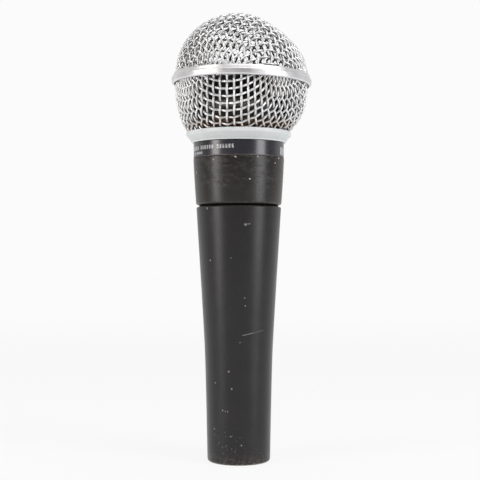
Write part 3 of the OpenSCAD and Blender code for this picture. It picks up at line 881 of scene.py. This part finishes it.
# ---------------------------------------------------------------- grille

WIRE = wire_metal()


def make_grille():
    """Two cloths of woven wire, whose cut ends meet inside the crimp band."""
    radius, gap = BALL_R - WIRE_D, 0.2
    high = Bulge(radius, BALL_TOP - BAND_MID - SKIRT - WIRE_D, DOME_FULLNESS)
    dome = weave("wire_dome", high, BAND_MID + SKIRT, 1, DOME_LAY,
                 lambda p: p.z > BAND_MID + gap, WIRE)
    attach(dome, "grille")
    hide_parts("grille_dome")
    deep = Bulge(radius, BOWL_HALF_AXIS - WIRE_D, BOWL_FULLNESS)
    foot = BOWL_LO.z + 0.35
    bowl = weave("wire_bowl", deep, BAND_MID - SKIRT, -1, BOWL_LAY,
                 lambda p: foot < p.z < BAND_MID - gap, WIRE)
    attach(bowl, "grille")
    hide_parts("grille_bowl")


def make_band():
    """Rolled band with a bead round its middle, bent along with the ball."""
    r, z0, z1 = BAND_HI.x, BAND_LO.z, BAND_HI.z
    inner = BALL_R + 0.02
    outline = [(inner, z0 + 0.45)]
    outline += arc(inner + 0.35, z0 + 0.38, 0.36, 200, 290, 5)
    outline += arc(r - 0.55, z0 + 0.62, 0.55, -75, 0, 6)
    outline += [(r, z0 + 1.2), (r + 0.02, z0 + 1.6)]
    outline += arc(r - 0.30, z0 + 2.0, 0.30, 0, 70, 4)
    outline += [(r - 0.32, z0 + 2.34), (r - 0.36, z0 + 2.44)]
    outline += [(r - 0.42, z0 + 2.75), (r - 0.60, z0 + 3.15)]
    outline += arc(r - 1.0, z1 - 0.35, 0.33, 25, 140, 6)
    outline += [(inner, z1 - 0.55)]

    def warp(p):
        p = knocked(p)
        ripple = noise.noise(Vector((p.x, p.y, 0)) * 0.12) * 0.10
        return Vector((p.x * (1 + ripple / r), p.y * (1 + ripple / r), p.z))
    band = new_object("crimp_band", *lathe(outline, 200, warp), band_metal())
    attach(band, "grille")
    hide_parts("grille_band")


def make_screw_ring():
    """Cone from the collar up to the bowl, with a rounded lip that holds the wire."""
    lo, hi, r = RING_LO.z, RING_HI.z, RING_HI.x
    bore, foot = 15.28, 16.55
    outline = [(bore, lo + 0.25), (bore + 0.25, lo), (foot, lo)]
    outline += arc(foot + 0.2, lo + 0.30, 0.30, -75, 30, 6)
    outline += [(foot + 0.57, lo + 0.45), (r - 0.55, hi - 1.55)]
    outline += arc(r - 0.9, hi - 1.0, 0.9, -25, 0, 3)
    outline += arc(r - 0.34, hi - 0.36, 0.34, 0, 110, 6)
    outline += [(r - 0.66, hi - 0.12), (r - 0.85, hi - 0.6), (16.9, BOWL_LO.z + 0.1)]
    outline += [(15.9, BOWL_LO.z), (15.45, BOWL_LO.z), (bore, BOWL_LO.z - 0.2)]
    ring = new_object("screw_ring", *lathe(outline, 200), ring_paint())
    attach(ring, "grille")
    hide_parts("grille_ring")


make_grille()
make_band()
make_screw_ring()


# ---------------------------------------------------------------- what is left of the foam

def lining_r(z):
    """Outer radius of the foam lining, just inside the bowl's wires."""
    depth, gap = max(BAND_MID - SKIRT - z, 0.0) / BOWL_HALF_AXIS, 0.35
    return BALL_R * (1 - depth ** BOWL_FULLNESS) ** (1 / BOWL_FULLNESS) - 2 * WIRE_D - gap


def lining_section(lo, top, wall, rows):
    """An upright section of the lining, as (r, z) points up its outer face and down its inner one."""
    for i in range(rows):
        t = 2 * math.pi * i / rows
        z = lo + (top - lo) * (0.5 - 0.5 * math.cos(t))
        yield lining_r(z) - (wall if t > math.pi else 0.0) * abs(math.sin(t)) ** 0.5, z


def ragged_edge(a, waves, seed, octaves):
    """Noise along a torn edge that closes on itself after a full turn."""
    return noise.fractal(Vector((math.cos(a) * waves, math.sin(a) * waves, seed)), 1.0, 2.0, octaves)


def make_foam():
    """Loose crumbs at the bottom of the bowl, all round."""
    lo, hi = FOAM_LO.z, FOAM_HI.z
    rows, cols, wall = 22, 260, 1.35
    verts = []
    for k in range(cols):
        a = 2 * math.pi * k / cols
        share = 0.62 + 0.75 * ragged_edge(a, 2.6, 4.0, 4)
        top = lo + (hi - lo) * min(1.0, max(0.25, share))
        for r, z in lining_section(lo, top, wall, rows):
            lump = noise.fractal(around(r, a, z) * 1.3, 0.9, 2.1, 4) * 0.38
            r = min(r + lump, lining_r(z))
            verts.append(tuple(around(r, a, max(z + lump * 0.6, lo))))
    foam = new_object("foam_crumbs", verts, skin(cols, rows, closed=True), FOAM)
    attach(foam, "foam")
    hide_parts("foam_residue")


def make_flap():
    """Lining that still sticks to the wires round the back, with a torn upper edge."""
    torn_rise, taper = 2.6, 24      # above the plain part; columns over which each end tapers off
    lo, hi = FLAP_LO.z, FLAP_HI.z + torn_rise
    first = math.acos(-FLAP_LO.y / lining_r(hi))
    rows, cols, wall = 30, 240, 1.0
    verts = []
    for k in range(cols + 1):
        a = first + (2 * math.pi - 2 * first) * k / cols
        ends = smooth(min(k, cols - k) / taper)
        share = (0.93 + 0.50 * ragged_edge(a, 3.1, 9.0, 5)) * (0.15 + 0.85 * ends)
        top = lo + (hi - lo) * min(1.0, max(0.12, share))
        for r, z in lining_section(lo, top, wall, rows):
            lump = noise.fractal(around(r, a, z) * 1.1, 0.9, 2.1, 4) * 0.35
            verts.append(tuple(knocked(around(min(r + lump, lining_r(z)), a, z))))
    flap = new_object("foam_flap_torn", verts, skin(cols + 1, rows), FOAM)
    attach(flap, "grille")
    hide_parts("foam_flap")


def make_port_cloth():
    """Felt sleeve over the ports in the cartridge, with a fuzzy outer face."""
    outer, inner, edge, rows = CLOTH_HI.x - 0.02, CLOTH_HI.x - 0.5, 0.3, 28
    lo, hi = CLOTH_LO.z, CLOTH_HI.z - 0.03
    outline = [(inner, lo), (inner + edge, lo)]
    outline += [(outer, lo + edge + (hi - lo - 2 * edge) * k / rows) for k in range(rows + 1)]
    outline += [(inner + edge, hi), (inner, hi)]

    def warp(p):
        d = math.hypot(p.x, p.y)
        if d < inner + 0.1:
            return p
        fuzz = noise.fractal(p * 1.8, 0.9, 2.0, 4) * 0.16
        k = min(1.0, (outer + fuzz) / d) if fuzz < 0 else 1 + fuzz * 0.5 / d
        return Vector((p.x * k, p.y * k, p.z))
    cloth = new_object("port_felt", *lathe(outline, 220, warp), felt())
    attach(cloth, "cartridge")
    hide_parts("port_cloth")


FOAM = rotten_foam()
make_foam()
make_flap()
make_port_cloth()


# ---------------------------------------------------------------- threads and leads

def make_thread(name, body, r, z0, z1, pitch, material):
    """A rounded helical thread crest that stands on a plain neck of radius r."""
    steps, sides, sunk = 72, 8, 0.02
    tubes = Tubes(pitch * CREST, sides)
    turns = (z1 - z0) / pitch
    n = int(turns * steps)
    points, ups = [], []
    for k in range(n + 1):
        a = 2 * math.pi * turns * k / n
        run_out = 1 - smooth(min(k, n - k) / (steps / 2))
        radius = r - sunk - 0.25 * pitch * run_out
        points.append(Vector((radius * math.cos(a), radius * math.sin(a), z0 + (z1 - z0) * k / n)))
        ups.append(Vector((math.cos(a), math.sin(a), 0)))
    tubes.add(points, ups)
    thread = new_object(name, tubes.verts, tubes.faces, material)
    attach(thread, body)


def make_collar():
    """Outer barrel with a plain threaded spigot below, a seat for the nameplate and a neck above."""
    low, high = COLLAR_LOW, PLATE_LO.z
    spigot, spigot_pitch, neck, neck_pitch = 13.1, 1.25, 15.2, 1.0
    root_s, root_n = spigot - CREST * spigot_pitch, neck - CREST * neck_pitch
    bevel, stop_z, shoulder = 0.4, HANDLE_H + 0.02, 14.4
    bore, waist, waist_z, mouth, mouth_z = 11.4, 12.8, 96, 14.2, 108
    outline = [(bore, COLLAR_LO.z), (root_s - bevel, COLLAR_LO.z), (root_s, COLLAR_LO.z + bevel)]
    outline += [(root_s, HANDLE_H - 0.3), (root_s + 0.2, stop_z), (shoulder, stop_z)]
    outline += [(shoulder, low - 0.04)] + arc(shoulder + 0.45, low + 0.62, 0.66, -86, 0, 6)
    outline += [(15.56, low + 1.2), (15.9, low + 6), (16.2, low + 11), (16.47, high - 0.6)]
    outline += arc(16.28, high - 0.22, 0.2, 0, 80, 4)
    outline += [(16.02, high), (15.99, PLATE_HI.z), (root_n, PLATE_HI.z)]
    outline += [(root_n, COLLAR_HI.z - bevel), (root_n - bevel, COLLAR_HI.z), (mouth, COLLAR_HI.z)]
    outline += [(mouth, mouth_z), (waist, mouth_z), (waist, waist_z), (bore, waist_z - 1)]

    def ragged(p):
        """The upper edge is worn and a little wavy."""
        if p.z < high - 1.0 or p.z > high + 0.05 or math.hypot(p.x, p.y) < 16.1:
            return p
        wave = noise.fractal(Vector((p.x, p.y, 0)) * 0.8, 0.8, 2.0, 4)
        return Vector((p.x, p.y, p.z - 0.10 + 0.16 * wave))
    paint = CAD_LOOKS["collar"]
    collar = new_object("head_collar", *lathe(outline, 240, ragged), paint)
    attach(collar, "head")
    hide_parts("collar")
    make_thread("neck_thread", "head", root_n, PLATE_HI.z + 0.5, COLLAR_HI.z - 0.5,
                neck_pitch, paint)
    make_thread("spigot_thread", "head", root_s, COLLAR_LO.z + 0.6, HANDLE_H - 0.4,
                spigot_pitch, paint)


def make_leads():
    """Two thin leads, each with a loop of slack that lets the head be unscrewed; the loops are drawn
    in one fixed shape.
    """
    radius, sides, steps = 0.5, 12, 48
    apart, spread, loop = 3, 2.4, 4     # of the ends from the axis; of the slack in x and in y
    sunk = 0.3                          # into the potting below, and clear of the posts above
    tubes = Tubes(radius, sides)
    lo, hi = LEADS_LO.z - sunk, LEADS_HI.z - sunk
    for side in (-1, 1):
        points = []
        for k in range(steps + 1):
            t = k / steps
            slack = (1 - math.cos(2 * math.pi * t)) / 2
            x, y = apart + spread * slack, loop * slack * math.sin(2 * math.pi * t)
            points.append(Vector((side * x, side * y, lo + (hi - lo) * t)))
        tubes.add(points, [Vector((0.3, 1, 0.1)).normalized()] * len(points))
    leads = new_object("cartridge_wires", tubes.verts, tubes.faces, CAD_LOOKS["output_leads"])
    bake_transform(leads)
    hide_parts("cartridge_leads")


make_collar()
make_leads()
